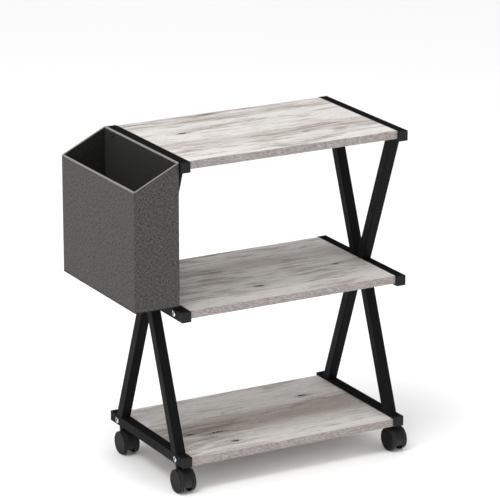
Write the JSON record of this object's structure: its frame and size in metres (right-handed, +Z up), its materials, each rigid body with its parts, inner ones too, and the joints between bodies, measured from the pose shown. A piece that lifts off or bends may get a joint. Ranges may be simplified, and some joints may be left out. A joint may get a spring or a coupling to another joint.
{
  "type": "mobile printer stand",
  "caption": "Tiered rolling printer stand: slanted black steel side frames, grey oak-look boards, a fabric storage bag on one side and twin-wheel casters.",
  "frame": {"origin": "on the floor, under the middle of the whole stand's box, its bag and casters included", "axes": "+Z up, +X to the right along the boards, front towards -Y, the bag on the -X side"},
  "size_m": [0.5786, 0.3096, 0.64],
  "materials": {
    "powder_coated_steel": "satin black powder coat",
    "plug_plastic": "satin black",
    "washed_oak": "grey washed oak laminate",
    "oak_edge": "grey oak edge banding",
    "zinc_plated_steel": "bright zinc",
    "insert_metal": "dull zinc",
    "blackened_steel": "black oxide",
    "caster_plastic": "semi-gloss black nylon",
    "grey_linen": "grey linen weave",
    "black_lining": "black woven lining",
    "rim_binding": "light grey woven binding",
    "stiffener_board": "grey pressed sheet"
  },
  "bodies": {
    "root": {"left_bottom_rail": "powder_coated_steel", "left_middle_rail": "powder_coated_steel", "left_top_rail": "powder_coated_steel", "left_lower_front_leg": "powder_coated_steel", "left_lower_back_leg": "powder_coated_steel", "left_upper_front_leg": "powder_coated_steel", "left_upper_back_leg": "powder_coated_steel", "left_rail_end_plugs": "plug_plastic", "right_bottom_rail": "powder_coated_steel", "right_middle_rail": "powder_coated_steel", "right_top_rail": "powder_coated_steel", "right_lower_front_leg": "powder_coated_steel", "right_lower_back_leg": "powder_coated_steel", "right_upper_front_leg": "powder_coated_steel", "right_upper_back_leg": "powder_coated_steel", "right_rail_end_plugs": "plug_plastic", "bottom_shelf_board": "washed_oak", "bottom_shelf_edge_banding": "oak_edge", "bottom_shelf_bolts": "zinc_plated_steel", "bottom_shelf_insert_nuts": "insert_metal", "middle_shelf_board": "washed_oak", "middle_shelf_edge_banding": "oak_edge", "middle_shelf_bolts": "zinc_plated_steel", "middle_shelf_insert_nuts": "insert_metal", "top_shelf_board": "washed_oak", "top_shelf_edge_banding": "oak_edge", "top_shelf_bolts": "zinc_plated_steel", "top_shelf_insert_nuts": "insert_metal", "caster_rivet_nuts": "blackened_steel", "bag_outer_fabric": "grey_linen", "bag_lining": "black_lining", "bag_front_panel": "stiffener_board", "bag_back_panel": "stiffener_board", "bag_inner_panel": "stiffener_board", "bag_outer_panel": "stiffener_board", "bag_base_panel": "stiffener_board", "bag_rim_binding": "rim_binding", "bag_eyelets": "blackened_steel", "bag_bolts": "blackened_steel", "front_left_caster_stem": "blackened_steel", "back_left_caster_stem": "blackened_steel", "front_right_caster_stem": "blackened_steel", "back_right_caster_stem": "blackened_steel"},
    "front_left_caster": {"front_left_caster_hood": "caster_plastic", "front_left_caster_axle": "zinc_plated_steel"},
    "front_left_outer_wheel": {"front_left_caster_outer_wheel": "caster_plastic"},
    "front_left_inner_wheel": {"front_left_caster_inner_wheel": "caster_plastic"},
    "back_left_caster": {"back_left_caster_hood": "caster_plastic", "back_left_caster_axle": "zinc_plated_steel"},
    "back_left_outer_wheel": {"back_left_caster_outer_wheel": "caster_plastic"},
    "back_left_inner_wheel": {"back_left_caster_inner_wheel": "caster_plastic"},
    "front_right_caster": {"front_right_caster_hood": "caster_plastic", "front_right_caster_axle": "zinc_plated_steel"},
    "front_right_outer_wheel": {"front_right_caster_outer_wheel": "caster_plastic"},
    "front_right_inner_wheel": {"front_right_caster_inner_wheel": "caster_plastic"},
    "back_right_caster": {"back_right_caster_hood": "caster_plastic", "back_right_caster_axle": "zinc_plated_steel"},
    "back_right_outer_wheel": {"back_right_caster_outer_wheel": "caster_plastic"},
    "back_right_inner_wheel": {"back_right_caster_inner_wheel": "caster_plastic"}
  },
  "joints": [
    {"name": "front_left_swivel", "type": "hinge", "parent": "root", "child": "front_left_caster", "pos_m": [-0.18725, -0.11625, 0.048], "axis": [0, 0, 1], "continuous": true},
    {"name": "front_left_outer_wheel_spin", "type": "hinge", "parent": "front_left_caster", "child": "front_left_outer_wheel", "pos_m": [-0.18725, -0.13225, 0.0225], "axis": [1, 0, 0], "continuous": true},
    {"name": "front_left_inner_wheel_spin", "type": "hinge", "parent": "front_left_caster", "child": "front_left_inner_wheel", "pos_m": [-0.18725, -0.13225, 0.0225], "axis": [1, 0, 0], "continuous": true},
    {"name": "back_left_swivel", "type": "hinge", "parent": "root", "child": "back_left_caster", "pos_m": [-0.18725, 0.11575, 0.048], "axis": [0, 0, 1], "continuous": true},
    {"name": "back_left_outer_wheel_spin", "type": "hinge", "parent": "back_left_caster", "child": "back_left_outer_wheel", "pos_m": [-0.18725, 0.09975, 0.0225], "axis": [1, 0, 0], "continuous": true},
    {"name": "back_left_inner_wheel_spin", "type": "hinge", "parent": "back_left_caster", "child": "back_left_inner_wheel", "pos_m": [-0.18725, 0.09975, 0.0225], "axis": [1, 0, 0], "continuous": true},
    {"name": "front_right_swivel", "type": "hinge", "parent": "root", "child": "front_right_caster", "pos_m": [0.27275, -0.11625, 0.048], "axis": [0, 0, 1], "continuous": true},
    {"name": "front_right_outer_wheel_spin", "type": "hinge", "parent": "front_right_caster", "child": "front_right_outer_wheel", "pos_m": [0.27275, -0.13225, 0.0225], "axis": [1, 0, 0], "continuous": true},
    {"name": "front_right_inner_wheel_spin", "type": "hinge", "parent": "front_right_caster", "child": "front_right_inner_wheel", "pos_m": [0.27275, -0.13225, 0.0225], "axis": [1, 0, 0], "continuous": true},
    {"name": "back_right_swivel", "type": "hinge", "parent": "root", "child": "back_right_caster", "pos_m": [0.27275, 0.11575, 0.048], "axis": [0, 0, 1], "continuous": true},
    {"name": "back_right_outer_wheel_spin", "type": "hinge", "parent": "back_right_caster", "child": "back_right_outer_wheel", "pos_m": [0.27275, 0.09975, 0.0225], "axis": [1, 0, 0], "continuous": true},
    {"name": "back_right_inner_wheel_spin", "type": "hinge", "parent": "back_right_caster", "child": "back_right_inner_wheel", "pos_m": [0.27275, 0.09975, 0.0225], "axis": [1, 0, 0], "continuous": true}
  ]
}
